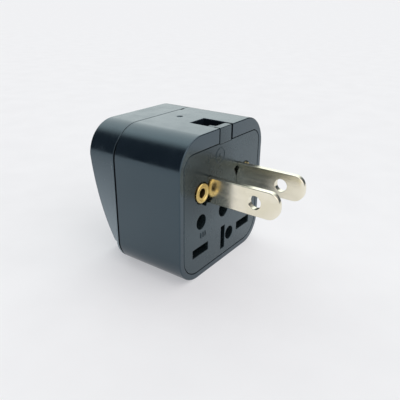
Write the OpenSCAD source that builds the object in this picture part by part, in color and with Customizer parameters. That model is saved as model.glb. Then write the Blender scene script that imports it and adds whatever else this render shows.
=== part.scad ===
// Universal travel adapter: universal socket at the back (+Y), two flat blades at the front (-Y).
// It lies on its lower side, as on a table. +Z is up and X runs across the plug face.
// Y is counted from the plug face inside the modules, and row_frame() then centres the whole length.

/* [Body] */
// Width of the body across the plug face
body_w = 35.5; // [35:0.25:37]
// Height of the body
body_h = 35.5; // [35.5:0.25:37]
// Depth of the main housing, from the plug face to the rear seam
housing_d = 19; // [18.5:0.25:20]
// Depth of the whole body, from the plug face to the socket face
body_d = 27.4; // [26.8:0.2:29]
// Radius of the two upper corners
top_corner_r = 8; // [7:0.25:8.5]
// Radius of the two lower corners
bottom_corner_r = 6.8; // [6:0.2:7.4]
// Wall thickness of the shells
wall = 1.5; // [1.3:0.1:1.6]

/* [Pin plate] */
// Height of the plate's upper edge, where the latch stands
plate_top = 31.9; // [31.5:0.1:32.2]
// Thickness of the plate
plate_t = 2.4; // [2.2:0.1:2.5]
// Height of the two blades' centre line
blade_z = 21.8; // [21.4:0.1:22.2]
// Depth of the open slot in the top wall, from the plug face
window_d = 8.4; // [7.5:0.1:9]
// Width of the open slot in the top wall
window_w = 5.8; // [5.6:0.1:6.4]
// Width of the latch finger that stands in the slot
latch_w = 4.8; // [4.4:0.1:5]

/* [Blades] */
// Distance between the centres of the two blades
blade_pitch = 12.7; // [12.6:0.05:12.8]
// Width of a blade
blade_w = 6.35; // [6.2:0.05:6.4]
// Thickness of a blade
blade_t = 1.5; // [1.4:0.05:1.6]
// Length of a blade in front of the plug face
blade_len = 18.2; // [16:0.1:18.6]
// Distance of the hole in a blade from the plug face
blade_hole_at = 12.2; // [11.2:0.1:12.6]
// Diameter of the hole in a blade
blade_hole_d = 3.2; // [3:0.05:3.3]

/* [Rivets and screws] */
// Distance of each rivet from the middle plane
rivet_x = 9.5; // [9.45:0.01:9.6]
// Diameter of the rolled head of a hollow rivet
rivet_head_d = 4.8; // [4.4:0.1:4.8]
// Height of the screws' axes
screw_z = 14.5; // [14:0.1:15]
// Distance of each screw from the middle plane
screw_x = 9.5; // [9:0.1:9.8]

/* [Socket] */
// Height of the line through the round, flat and slanted live openings
socket_z = 23.5; // [23.2:0.1:23.8]
// Height of the wide rectangular live openings
wide_slot_z = 29.45; // [29.3:0.05:29.6]
// Height of the rectangular earth opening
earth_slot_z = 7.3; // [7.1:0.1:7.6]
// Thickness of the socket face
face_t = 1.8; // [1.5:0.1:2]

/* [Hidden] */
$fn = 96;

black_plastic = [0.03, 0.035, 0.04];
nickel = [0.78, 0.76, 0.68];
brass = [0.82, 0.62, 0.22];
bronze = [0.72, 0.46, 0.2];
dark_steel = [0.12, 0.12, 0.13];

eps = 0.01;                                 // overlap of solids that are joined
over = 1;                                   // how far a cutter runs past what it cuts
play = 0.05;                                // gap between two pieces that rest on each other
blade_x = blade_pitch / 2;
row_y = (blade_len - body_d) / 2;           // Y of the plug face in the row frame

// Housing and pin plate
seam = 0.15;                                // gap around the pin plate
opening_top_r = 3.5;                        // upper corners of the plate's opening
opening_bottom_r = bottom_corner_r - wall;
ledge_w = 0.8;                              // inward step that the plate rests on
plate_y = 0.05;                             // the plate lies this far behind the rim
ledge_y = plate_y + plate_t + play;
ledge_t = 1.2;
beam_d = window_d + wall;                   // the thick top wall around the slot ends here
gate_x = 0.7;                               // small round gate mark on the upper side
gate_y = 14.2;
gate_r = 0.8;
gate_taper = 0.1;
gate_depth = 0.25;
notch_x = 6.8;                              // notch in the seam on the upper side
notch_w = 1.5;
notch_depth = 0.5;
plate_rib_t = 1.1;
plate_rib_w = 1.0;
toe_x = 3;                                  // two toes, clear of the earth pin between them
toe_w = 3.5;
toe_t = 1;

outer_hole_r = 1.85;                        // the screws' heads stand behind these two
middle_hole_r = 2.05;
low_hole_x = 3;
low_hole_z = 6.6;
low_hole_r = 1.75;
side_slot_x = 9.7;
side_slot_z = 7.05;
side_slot_w = 6.3;
side_slot_h = 2.2;
low_slot_z = 6.5;
low_slot_w = 1.8;
low_slot_h = 6.4;
plate_slant_z = 21.3;
plate_slant_w = 1.9;
plate_slant_h = 6.6;
blade_gap = 0.1;
mark_t = 0.12;
ring_x = -2.1;
ring_z = 28.9;
ring_r = 2;
ring_w = 0.35;
ring_dot_r = 0.5;
bars_x = -9.9;
bars_z = 10.2;
bar_pitch = 0.9;
bar_w = 0.4;
bar_h = 1.5;

// Latch finger and its catch
latch_t = 1.95;
latch_axis_y = plate_y + latch_t / 2;
latch_axis_z = plate_top;
latch_foot_r = latch_t / 2;
latch_play = 0.07;
catch_y = 3.1;
catch_t = 0.8;
catch_h = 1.2;
latch_gap = 0.3;                            // room around the catch bar
catch_z0 = plate_top + latch_gap;
catch_z1 = catch_z0 + catch_h;
hook_z0 = catch_z1 + latch_gap;
hook_t = 1.1;
hook_w = 1.3;                               // the hook is a narrow rib behind the finger
barb_t = 0.7;
barb_h = 0.8;
barb_y0 = catch_y + catch_t + latch_gap;
hook_y1 = barb_y0 + barb_t;

// Blade foot, terminal, washer and rivet, stacked behind the plate
foot_y = plate_y + plate_t + play;
foot_end_x = 12.4;
terminal_t = 0.8;
terminal_y = foot_y + blade_t;
washer_y = terminal_y + terminal_t;
washer_t = 0.4;
washer_r = 2.6;
rivet_hole_r = 1.5;
rivet_r = 1.45;
rivet_bore_r = 0.9;
rivet_tail_r = 2.1;
rivet_tail_t = 0.5;
rivet_roll_r = 0.42;                        // the head's rolled rim
rivet_lip = 0.25;
rivet_dish_y = 0.35;                        // the head's dish reaches the bore here
rivet_seat_gap = 0.02;
rivet_proud = 0.45;
rivet_recess_d = 5.3;
rivet_recess_t = 0.6;
tip_r = 2.8;                                // rounded corners of a blade's tip
tip_bevel = 0.35;
tip_bevel_len = 1.3;
bend_r = 1.3;

// Contacts
arm_z0 = 20.6;
arm_z1 = 25;
base_z0 = 19.4;
inner_arm_x = 4;
outer_arm_x = 13.8;
inner_arm_y1 = 21;
outer_arm_y1 = 12.2;
shelf_z = 26.4;                             // the shelf that a wide pin touches from below
shelf_x1 = 12.6;
shelf_y0 = 11;
shelf_y1 = 20;
dimple_r = 2;                               // dimple of the inner arm, where a flat blade touches
dimple_proud = 1.4;
dimple_from_tip = 2.2;
dimple_len = 5;
clip_t = 0.6;
clip_rivet_y = 9.8;
clip_rivet_z = [21.7, 23.9];                // heights of the two small rivets of a clip
clip_rivet_r = 0.55;
clip_rivet_head_r = 0.95;
clip_rivet_head_t = 0.35;
clip_y0 = 7.9;
clip_y1 = 12.2;
knuckle_x = 13.05;
knuckle_y = 12.9;
knuckle_r = 0.65;
knuckle_t = 0.45;
knuckle_mouth_w = 1.5;                      // slot that lets the leaf out of the knuckle
small_hole_gap = 0.05;
leaf_t = 0.4;
leaf_root_r = 0.58;
leaf_z0 = 20.9;
leaf_z1 = 24.7;
leaf_path = [[13.05, 12.9], [12.9, 15.5], [11.7, 19.2], [11.7, 20.2], [13, 23]];

// Carrier
carrier_y = 6.2;
carrier_t = 1.5;
carrier_gap = 0.2;
carrier_back_y = carrier_y + carrier_t + play;  // the lugs and the cover's bosses start here
pass_gap = 0.2;                             // room around the contacts where they pass the carrier
pass_depth = 2.5;
inner_pass_w = 1.3;
barrier_x = 2.9;
barrier_t = 0.8;
carrier_y1 = 24.6;
barrier_z1 = 30.5;
shelf_wall_x1 = 13.3;
lug_w = 2.2;                                // four lugs inside the housing that the carrier bears on
lug_h = 3;
lug_t = 1.3;
lug_z = [9, 27.5];
shelf_wall_z = 18.4;
shelf_wall_t = 1.2;

// Socket cover
groove_w = 0.45;                            // visible groove between housing and cover
groove_d = 0.5;
seam_steps = [[33.6, 0.12], [29.6, 0.25]];  // above each height, the groove is this wide
butt_gap = 0.02;                            // play between the housing's rear edge and the cover
flange_t = 0.75;
flange_r = 0.35;
flange_edge_steps = 3;
flange_front_t = 0.2;                       // the nose starts this far behind the flange's front
spigot_d = 3;
spigot_t = 1.1;
spigot_gap = 0.05;
neck_inset = 2;
neck_t = 0.8;                               // the nose's wall is thicker up to here behind the flange
side_arc_r = 95;                            // gentle bulge of the nose's tapered sides
side_arc_x = 76.9;                          // distance of that arc's centre beyond the middle plane
side_arc_z = 36.2;
nose_z0 = 0.35;
nose_bottom_r = 3;
corner_bulge = 0.02;                        // the corner circles stand proud, so they cross the sides
nose_edge_r = 0.4;
nose_edge_steps = 4;
boss_r = 2.3;
boss_bore_r = 1.15;
nose_y0 = housing_d + groove_w + flange_t;

// Socket openings
wide_slot_x = 11.15;
wide_slot_w = 7.2;
wide_slot_h = 4.9;
round_x = 9.5;
round_r = 2.75;
flat_slot_w = 2.6;
flat_slot_h = 7.2;
slant_x = 6.86;
slant_angle = 30;
slant_slot_w = 2.2;
slant_slot_h = 7;
centre_r = 2.4;
earth_r = 2.7;
earth_round_z = socket_z - 11.9;
earth_flat_z = socket_z - 10.3;
earth_slot_w = 4.8;
earth_slot_h = 8.8;

// Screws
screw_r = 1.0;
screw_thread_r = 1.12;
screw_head_r = 1.7;
screw_head_t = 1.4;
screw_head_edge = 0.5;
screw_head_taper = 0.35;
screw_len = 14;
screw_pitch = 0.8;
screw_core_r = screw_r - 0.12;
screw_plain = 3;                            // pitches below the head that have no thread
point_from_end = 2;
point_len = 1.6;
point_end_r = 0.15;
recess = [2.1, 0.4, 0.8];                   // length, width and depth of the cross recess

// ---- Frame and two-dimensional helpers ----

module row_frame() translate([0, row_y, 0]) children();

// Extrudes a shape drawn in X and Z along Y, from y0 to y1.
module along_y(y0, y1) translate([0, y1, 0]) rotate([90, 0, 0]) linear_extrude(y1 - y0) children();

// Puts a child on the left or the right: the parts are drawn for the right side (+X).
module on_side(side) mirror([side < 0 ? 1 : 0, 0, 0]) children();

// A round bar or hole along Y.
module rod_y(x, z, r, y0, y1) translate([x, y1, z]) rotate([90, 0, 0]) cylinder(r = r, h = y1 - y0);

// A box from one corner to the other.
module block(low, high) translate(low) cube(high - low);

// Rectangle standing on z0 with its own upper and lower corner radii.
module rounded(w, z0, z1, top_r, bottom_r) {
    for (side = [-1, 1]) {
        translate([side * (w / 2 - top_r), z1 - top_r]) circle(top_r);
        translate([side * (w / 2 - bottom_r), z0 + bottom_r]) circle(bottom_r);
    }
    translate([-w / 2, z0 + bottom_r]) square([w, z1 - z0 - top_r - bottom_r]);
    translate([-w / 2 + bottom_r, z0]) square([w - 2 * bottom_r, z1 - z0 - top_r]);
    translate([-w / 2 + top_r, z0 + bottom_r]) square([w - 2 * top_r, z1 - z0 - bottom_r]);
}

// The body's outline, pulled in by an inset.
module body_outline(inset) rounded(
    body_w - 2 * inset, inset, body_h - inset, top_corner_r - inset, bottom_corner_r - inset);

// The opening that the pin plate fills, pulled in by an inset.
module plate_outline(inset) rounded(
    body_w - 2 * wall - 2 * inset, wall + inset, plate_top - inset,
    opening_top_r - inset, opening_bottom_r - inset);

// The nose's outline: the body's, cut by two wide arcs so that it tapers downwards.
// Each lower corner is a circle that meets both the flat bottom and the arc.
module nose_outline(inset) {
    arc_r = side_arc_r - inset;
    corner_r = nose_bottom_r - inset;
    corner_z = nose_z0 + nose_bottom_r;
    corner_x = sqrt(pow(side_arc_r - nose_bottom_r, 2) - pow(side_arc_z - corner_z, 2)) - side_arc_x;
    touch = [corner_x + side_arc_x, corner_z - side_arc_z] / (side_arc_r - nose_bottom_r);
    difference() {
        intersection() {
            body_outline(inset);
            translate([-body_w, nose_z0 + inset]) square([2 * body_w, body_h]);
            translate([side_arc_x, side_arc_z]) circle(arc_r, $fn = 240);
            translate([-side_arc_x, side_arc_z]) circle(arc_r, $fn = 240);
        }
        for (side = [-1, 1]) mirror([side < 0 ? 1 : 0, 0]) polygon([
            [corner_x, corner_z],
            [corner_x, corner_z] + touch * 2 * nose_bottom_r,
            [corner_x + 2 * nose_bottom_r, -nose_bottom_r],
            [corner_x, -nose_bottom_r]
        ]);
    }
    for (side = [-1, 1]) translate([side * corner_x, corner_z]) circle(corner_r + corner_bulge);
}

// A slot of given width and height about its centre, turned by an angle.
module slot(x, z, w, h, turn = 0) translate([x, z]) rotate(turn) square([w, h], center = true);

// ---- Shells ----

module housing_lugs() for (side = [-1, 1]) on_side(side) for (z = lug_z)
    block([body_w / 2 - wall - lug_w, carrier_back_y, z - lug_h / 2],
          [body_w / 2 - wall + eps, carrier_back_y + lug_t, z + lug_h / 2]);

module main_housing() color(black_plastic) {
    difference() {
        along_y(0, housing_d) body_outline(0);
        along_y(-over, ledge_y) plate_outline(0);
        along_y(ledge_y - eps, ledge_y + ledge_t) plate_outline(ledge_w);
        along_y(ledge_y + ledge_t - eps, beam_d) plate_outline(0);
        along_y(beam_d - eps, housing_d + over) body_outline(wall);
        difference() {
            block([-window_w / 2, -over, plate_top - ledge_w - over],
                  [window_w / 2, window_d, body_h + over]);
            block([-window_w / 2 - over, catch_y, catch_z0],
                  [window_w / 2 + over, catch_y + catch_t, catch_z1]);
        }
        // mark of the mould's gate, and a notch for prising the cover off
        translate([gate_x, gate_y, body_h - gate_depth])
            cylinder(r1 = gate_r - gate_taper, r2 = gate_r, h = gate_depth + eps);
        block([notch_x, housing_d - notch_depth, body_h - wall / 2],
              [notch_x + notch_w, housing_d + over, body_h + over]);
    }
    housing_lugs();
}

// Openings of the plate: open positions for other pins, the blades' slots and the rivets' seats.
module pin_holes() {
    for (side = [-1, 1]) rod_y(side * screw_x, screw_z, outer_hole_r, -over, ledge_y + over);
    rod_y(0, screw_z, middle_hole_r, -over, ledge_y + over);
    rod_y(low_hole_x, low_hole_z, low_hole_r, -over, ledge_y + over);
    along_y(-over, ledge_y + over) {
        for (side = [-1, 1]) {
            slot(side * side_slot_x, side_slot_z, side_slot_w, side_slot_h);
            slot(side * slant_x, plate_slant_z, plate_slant_w, plate_slant_h, side * slant_angle);
            slot(side * blade_x, blade_z, blade_t + blade_gap, blade_w + blade_gap);
        }
        slot(0, low_slot_z, low_slot_w, low_slot_h);
    }
    for (side = [-1, 1]) {
        rod_y(side * rivet_x, blade_z, rivet_hole_r, -over, ledge_y + over);
        rod_y(side * rivet_x, blade_z, rivet_recess_d / 2, -over, plate_y + rivet_recess_t);
    }
}

// Plain raised marks: a ring with a dot, and three short bars.
module plate_marks() {
    difference() {
        rod_y(ring_x, ring_z, ring_r, plate_y - mark_t, plate_y + eps);
        rod_y(ring_x, ring_z, ring_r - ring_w, -over, plate_y + over);
    }
    rod_y(ring_x, ring_z, ring_dot_r, plate_y - mark_t, plate_y + eps);
    for (k = [0:2]) block([bars_x + k * bar_pitch, plate_y - mark_t, bars_z],
                          [bars_x + k * bar_pitch + bar_w, plate_y + eps, bars_z + bar_h]);
}

// The toes hook behind the housing's lower ledge, and the latch holds the plate's upper edge.
module plate_toes() for (side = [-1, 1]) on_side(side) {
    rib_z = wall + ledge_w + seam;
    toe_y0 = ledge_y + ledge_t + play;
    block([toe_x, plate_y + plate_t - eps, rib_z], [toe_x + toe_w, toe_y0 + toe_t, rib_z + plate_rib_w]);
    block([toe_x, toe_y0, wall + seam], [toe_x + toe_w, toe_y0 + toe_t, rib_z + plate_rib_w]);
}

module pin_plate() color(black_plastic) {
    difference() {
        union() {
            along_y(plate_y, plate_y + plate_t) plate_outline(seam);
            along_y(plate_y + plate_t - eps, plate_y + plate_t + plate_rib_t) difference() {
                plate_outline(ledge_w + seam);
                plate_outline(ledge_w + seam + plate_rib_w);
            }
        }
        pin_holes();
        translate([-latch_w / 2 - seam, latch_axis_y, latch_axis_z]) rotate([0, 90, 0])
            cylinder(r = latch_foot_r + latch_play, h = latch_w + 2 * seam);
    }
    plate_marks();
    plate_toes();
}

module latch_finger() color(black_plastic) {
    translate([-latch_w / 2, latch_axis_y, latch_axis_z]) rotate([0, 90, 0])
        cylinder(r = latch_foot_r, h = latch_w);
    block([-latch_w / 2, plate_y, latch_axis_z], [latch_w / 2, plate_y + latch_t, body_h - play]);
    block([-hook_w / 2, plate_y + latch_t - eps, hook_z0], [hook_w / 2, hook_y1, hook_z0 + hook_t]);
    block([-hook_w / 2, barb_y0, hook_z0 - barb_h], [hook_w / 2, hook_y1, hook_z0 + eps]);
}

module wide_openings() for (side = [-1, 1])
    slot(side * wide_slot_x, wide_slot_z, wide_slot_w, wide_slot_h);

module socket_openings() {
    wide_openings();
    for (side = [-1, 1]) {
        translate([side * round_x, socket_z]) circle(round_r);
        slot(side * blade_x, socket_z, flat_slot_w, flat_slot_h);
        slot(side * slant_x, socket_z, slant_slot_w, slant_slot_h, side * slant_angle);
    }
    translate([0, socket_z]) circle(centre_r);
    translate([0, earth_round_z]) circle(earth_r);
    slot(0, earth_flat_z, slant_slot_w, slant_slot_h);
    slot(0, earth_slot_z, earth_slot_w, earth_slot_h);
}

// A prism along Y from y0 to y1 whose rear edge is rounded by a stack of slices.
module round_backed(y0, y1, radius, steps, is_nose) for (k = [0:steps]) {
    turn = 90 * k / steps;
    inset = radius * (1 - cos(turn));
    along_y(y0, y1 - radius * (1 - sin(turn))) {
        if (is_nose) nose_outline(inset);
        else body_outline(inset);
    }
}

module socket_cover() color(black_plastic) {
    difference() {
        union() {
            round_backed(housing_d + groove_w + flange_front_t, body_d, nose_edge_r, nose_edge_steps, true);
            round_backed(housing_d + groove_w, nose_y0, flange_r, flange_edge_steps, false);
            along_y(housing_d + butt_gap, housing_d + groove_w + eps) body_outline(groove_d);
            for (step = seam_steps) along_y(housing_d + step[1], housing_d + groove_w + eps)
                intersection() {
                    body_outline(0);
                    translate([-body_w, step[0]]) square([2 * body_w, body_h]);
                }
            along_y(housing_d - spigot_d, housing_d + butt_gap + eps) body_outline(wall + spigot_gap);
        }
        along_y(housing_d - spigot_d - over, housing_d) body_outline(wall + spigot_t);
        along_y(housing_d - over, body_d - face_t) intersection() {
            body_outline(wall + spigot_t);
            nose_outline(neck_inset);
        }
        along_y(nose_y0 + neck_t, body_d - face_t) nose_outline(wall);
        along_y(body_d - face_t - over, body_d + over) socket_openings();
        along_y(housing_d - spigot_d - over, body_d) wide_openings();
    }
    for (side = [-1, 1]) difference() {
        rod_y(side * screw_x, screw_z, boss_r, carrier_back_y, body_d - face_t + eps);
        rod_y(side * screw_x, screw_z, boss_bore_r, carrier_y, carrier_y + screw_len);
    }
}

// ---- Inner insulating carrier ----

module contact_carrier() color(black_plastic) difference() {
    union() {
        along_y(carrier_y, carrier_y + carrier_t) plate_outline(ledge_w + carrier_gap);
        for (side = [-1, 1]) on_side(side) {
            block([barrier_x, carrier_y + eps, shelf_wall_z],
                  [barrier_x + barrier_t, carrier_y1, barrier_z1]);
            block([barrier_x, carrier_y + eps, shelf_wall_z],
                  [shelf_wall_x1, carrier_y1, shelf_wall_z + shelf_wall_t]);
        }
    }
    for (side = [-1, 1]) on_side(side) {
        // passages for the terminal's two arms and its shelf
        block([inner_arm_x - pass_gap, carrier_y - over, base_z0],
              [inner_arm_x + inner_pass_w, carrier_y + pass_depth, shelf_z + terminal_t + pass_gap]);
        block([knuckle_x - knuckle_r - knuckle_t - pass_gap, carrier_y - over, base_z0],
              [outer_arm_x + terminal_t + 2 * pass_gap, carrier_y + pass_depth, arm_z1 + 2 * pass_gap]);
        block([inner_arm_x - pass_gap, carrier_y - over, shelf_z - pass_gap],
              [shelf_x1 + pass_gap, carrier_y + pass_depth, shelf_z + terminal_t + pass_gap]);
        rod_y(screw_x, screw_z, boss_bore_r, carrier_y - over, carrier_y + carrier_t + over);
    }
    along_y(carrier_y - over, carrier_y + carrier_t + over)
        slot(0, earth_slot_z, earth_slot_w, earth_slot_h);
}

// ---- Metal parts, drawn for the right side ----

// A blade's side view in Y and Z: square at the root, rounded at the tip.
module blade_profile() {
    half = blade_w / 2;
    for (end = [-1, 1]) translate([-blade_len + tip_r, end * (half - tip_r)]) circle(tip_r);
    translate([-blade_len, -half + tip_r]) square([tip_r + eps, blade_w - 2 * tip_r]);
    translate([-blade_len + tip_r, -half]) square([blade_len - tip_r + foot_y + blade_t, blade_w]);
}

// A blade's plan in X and Y: bevelled on both faces at the tip.
module blade_plan() polygon([
    [-blade_t / 2, foot_y + blade_t],
    [-blade_t / 2, -blade_len + tip_bevel_len],
    [-blade_t / 2 + tip_bevel, -blade_len],
    [blade_t / 2 - tip_bevel, -blade_len],
    [blade_t / 2, -blade_len + tip_bevel_len],
    [blade_t / 2, foot_y + blade_t]
]);

// Flat blade, bent outwards behind the plate into the foot that the rivet clamps.
module blade() color(nickel) {
    foot_r = blade_w / 2;
    difference() {
        union() {
            intersection() {
                translate([blade_x - blade_t / 2, 0, blade_z]) rotate([90, 0, 90])
                    linear_extrude(blade_t) blade_profile();
                translate([blade_x, 0, blade_z - foot_r]) linear_extrude(blade_w) blade_plan();
            }
            block([blade_x, foot_y, blade_z - foot_r],
                  [foot_end_x - foot_r, foot_y + blade_t, blade_z + foot_r]);
            rod_y(foot_end_x - foot_r, blade_z, foot_r, foot_y, foot_y + blade_t);
        }
        translate([0, -blade_hole_at, blade_z]) rotate([0, 90, 0]) cylinder(d = blade_hole_d, h = body_w);
        rod_y(rivet_x, blade_z, rivet_hole_r, 0, body_d);
        // the outside of the bend is round
        difference() {
            block([blade_x - blade_t / 2 - over, foot_y + blade_t - bend_r, 0],
                  [blade_x - blade_t / 2 + bend_r, foot_y + blade_t + over, body_h]);
            translate([blade_x - blade_t / 2 + bend_r, foot_y + blade_t - bend_r, 0])
                cylinder(r = bend_r, h = body_h);
        }
    }
}

// Hollow rivet: its rolled head in front, its tail spread over the washer behind.
module rivet() color(brass) translate([rivet_x, 0, blade_z]) rotate([-90, 0, 0]) {
    rim_r = rivet_head_d / 2 - rivet_roll_r;
    seat_y = plate_y + rivet_recess_t - rivet_seat_gap;
    tail_y = washer_y + washer_t;
    rotate_extrude() {
        translate([rivet_bore_r, 0]) square([rivet_r - rivet_bore_r, tail_y + rivet_tail_t]);
        translate([rim_r, -rivet_proud + rivet_roll_r]) circle(rivet_roll_r, $fn = 32);
        polygon([
            [rivet_bore_r, rivet_dish_y],
            [rivet_bore_r + rivet_lip, -play],
            [rim_r, -rivet_proud],
            [rim_r, seat_y],
            [rivet_bore_r, seat_y]
        ]);
        translate([rivet_bore_r, tail_y]) square([rivet_tail_r - rivet_bore_r, rivet_tail_t]);
    }
}

module rivet_washer() color(nickel) difference() {
    rod_y(rivet_x, blade_z, washer_r, washer_y, washer_y + washer_t);
    rod_y(rivet_x, blade_z, rivet_hole_r, 0, body_d);
}

// Holes for a clip's two small rivets.
module clip_rivet_holes() for (z = clip_rivet_z)
    translate([outer_arm_x - clip_t - over, clip_rivet_y, z]) rotate([0, 90, 0])
        cylinder(r = clip_rivet_r + small_hole_gap, h = clip_t + terminal_t + 2 * over);

// U-shaped strip: a base clamped on the blade's foot, an inner and an outer arm, and a shelf.
module terminal() color(brass) difference() {
    union() {
        block([inner_arm_x, terminal_y, base_z0],
              [outer_arm_x + terminal_t, terminal_y + terminal_t, arm_z1]);
        block([inner_arm_x, terminal_y, arm_z0], [inner_arm_x + terminal_t, inner_arm_y1, arm_z1]);
        block([inner_arm_x, shelf_y0, arm_z1 - eps],
              [inner_arm_x + terminal_t, shelf_y1, shelf_z + terminal_t]);
        block([inner_arm_x, shelf_y0, shelf_z], [shelf_x1, shelf_y1, shelf_z + terminal_t]);
        block([outer_arm_x, terminal_y, arm_z0], [outer_arm_x + terminal_t, outer_arm_y1, arm_z1]);
        // rounded dimple that presses on a flat blade
        intersection() {
            translate([inner_arm_x + dimple_proud - dimple_r, inner_arm_y1 - dimple_from_tip, arm_z0])
                cylinder(r = dimple_r, h = arm_z1 - arm_z0);
            block([inner_arm_x, inner_arm_y1 - dimple_len, arm_z0],
                  [inner_arm_x + dimple_r, inner_arm_y1, arm_z1]);
        }
    }
    rod_y(rivet_x, blade_z, rivet_hole_r, 0, terminal_y + 2 * terminal_t);
    clip_rivet_holes();
}

// Clip on the outer arm, with a knuckle that holds the leaf's rolled root.
module leaf_clip() color(brass) difference() {
    union() {
        block([outer_arm_x - clip_t, clip_y0, arm_z0], [outer_arm_x, clip_y1, arm_z1]);
        translate([knuckle_x, knuckle_y, arm_z0]) cylinder(r = knuckle_r + knuckle_t, h = arm_z1 - arm_z0);
    }
    translate([knuckle_x, knuckle_y, 0]) cylinder(r = knuckle_r, h = body_h);
    block([knuckle_x - knuckle_mouth_w / 2, knuckle_y, 0],
          [knuckle_x + knuckle_mouth_w / 2, knuckle_y + 3 * over, body_h]);
    block([outer_arm_x, clip_y0 - over, 0], [outer_arm_x + 3 * over, knuckle_y + 3 * over, body_h]);
    clip_rivet_holes();
}

module clip_rivet(z) color(brass)
    translate([outer_arm_x - clip_t - clip_rivet_head_t, clip_rivet_y, z]) rotate([0, 90, 0]) {
        grip = clip_t + terminal_t;
        cylinder(r = clip_rivet_r, h = grip + 2 * clip_rivet_head_t);
        cylinder(r = clip_rivet_head_r, h = clip_rivet_head_t);
        translate([0, 0, clip_rivet_head_t + grip]) cylinder(r = clip_rivet_head_r, h = clip_rivet_head_t);
    }

// Direction of one stretch of the leaf's path, and the mitred corner beside one of its points.
function leaf_dir(k) = (leaf_path[k + 1] - leaf_path[k]) / norm(leaf_path[k + 1] - leaf_path[k]);
function leaf_corner(k, side) =
    let (last = len(leaf_path) - 2)
    let (before = leaf_dir(max(k - 1, 0)), after = leaf_dir(min(k, last)))
    let (middle = (before + after) / norm(before + after))
    leaf_path[k] + side * leaf_t / 2 / (middle * after) * [-middle[1], middle[0]];

// Springy leaf that presses a round pin from outside.
module contact_leaf() color(bronze) translate([0, 0, leaf_z0]) {
    last = len(leaf_path) - 1;
    translate(leaf_path[0]) cylinder(r = leaf_root_r, h = leaf_z1 - leaf_z0);
    linear_extrude(leaf_z1 - leaf_z0) polygon(concat(
        [for (k = [0:last]) leaf_corner(k, 1)],
        [for (k = [last:-1:0]) leaf_corner(k, -1)]
    ));
}

// One ridge of the screw's thread, as half of its section.
module thread_ridge(k) polygon([
    [0, k * screw_pitch],
    [screw_core_r, k * screw_pitch],
    [screw_thread_r, (k + 0.35) * screw_pitch],
    [screw_core_r, (k + 0.7) * screw_pitch],
    [0, (k + 0.7) * screw_pitch]
]);

// Self-tapping screw: pan head with a cross recess, and a stack of thread ridges.
module clamp_screw() color(dark_steel) translate([screw_x, carrier_y, screw_z]) rotate([-90, 0, 0]) {
    point_z = screw_len - point_from_end;
    difference() {
        union() {
            translate([0, 0, -screw_head_t])
                cylinder(r1 = screw_head_r - screw_head_taper, r2 = screw_head_r, h = screw_head_edge);
            translate([0, 0, -screw_head_t + screw_head_edge])
                cylinder(r = screw_head_r, h = screw_head_t - screw_head_edge);
            cylinder(r = screw_core_r, h = point_z);
            translate([0, 0, point_z]) cylinder(r1 = screw_core_r, r2 = point_end_r, h = point_len);
            rotate_extrude() for (k = [screw_plain:floor(point_z / screw_pitch) - 1]) thread_ridge(k);
        }
        for (turn = [0, 90]) rotate([0, 0, turn])
            translate([-recess[0] / 2, -recess[1] / 2, -screw_head_t - over])
                cube([recess[0], recess[1], over + recess[2]]);
    }
}

// ---- Nodes ----

module place(side) row_frame() on_side(side) children();

row_frame() main_housing();
row_frame() pin_plate();
row_frame() latch_finger();
row_frame() socket_cover();
row_frame() contact_carrier();
place(-1) blade();  // blade_left
place(1) blade();  // blade_right
place(-1) rivet();  // rivet_left
place(1) rivet();  // rivet_right
place(-1) rivet_washer();  // rivet_washer_left
place(1) rivet_washer();  // rivet_washer_right
place(-1) terminal();  // terminal_left
place(1) terminal();  // terminal_right
place(-1) leaf_clip();  // leaf_clip_left
place(1) leaf_clip();  // leaf_clip_right
place(-1) clip_rivet(clip_rivet_z[0]);  // clip_rivet_left_lower
place(-1) clip_rivet(clip_rivet_z[1]);  // clip_rivet_left_upper
place(1) clip_rivet(clip_rivet_z[0]);  // clip_rivet_right_lower
place(1) clip_rivet(clip_rivet_z[1]);  // clip_rivet_right_upper
place(-1) contact_leaf();  // contact_leaf_left
place(1) contact_leaf();  // contact_leaf_right
place(-1) clamp_screw();  // clamp_screw_left
place(1) clamp_screw();  // clamp_screw_right
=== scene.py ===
"""Looks of a universal travel adapter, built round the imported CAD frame.

Lengths are in millimetres, as in the CAD. A Y counted from the plug face goes through place(), which
shifts it into the row's frame and turns it into metres.
"""

import math

import bmesh
import bpy
from mathutils import Matrix, Vector


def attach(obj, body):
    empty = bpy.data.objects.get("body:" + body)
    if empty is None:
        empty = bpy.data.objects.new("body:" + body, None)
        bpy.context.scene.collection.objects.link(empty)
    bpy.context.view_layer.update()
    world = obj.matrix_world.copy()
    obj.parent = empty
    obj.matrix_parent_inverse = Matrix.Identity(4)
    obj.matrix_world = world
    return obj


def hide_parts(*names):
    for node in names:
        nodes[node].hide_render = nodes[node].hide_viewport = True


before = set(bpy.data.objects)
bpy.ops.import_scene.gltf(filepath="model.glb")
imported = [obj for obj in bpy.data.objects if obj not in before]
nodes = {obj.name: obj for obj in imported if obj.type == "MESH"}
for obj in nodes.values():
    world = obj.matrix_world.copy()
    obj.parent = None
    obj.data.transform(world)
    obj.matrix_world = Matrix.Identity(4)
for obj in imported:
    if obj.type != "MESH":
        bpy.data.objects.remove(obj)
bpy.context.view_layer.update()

# ---- Sizes, as in the CAD ----

MM = 0.001
BODY_W = 35.5
BODY_H = 35.5
HOUSING_D = 19.0
BODY_D = 27.4
TOP_R = 8.0
BOTTOM_R = 6.8
WALL = 1.5
BLADE_LEN = 18.2
FACE_Y = (BLADE_LEN - BODY_D) / 2            # Y of the plug face in the row's frame

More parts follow.
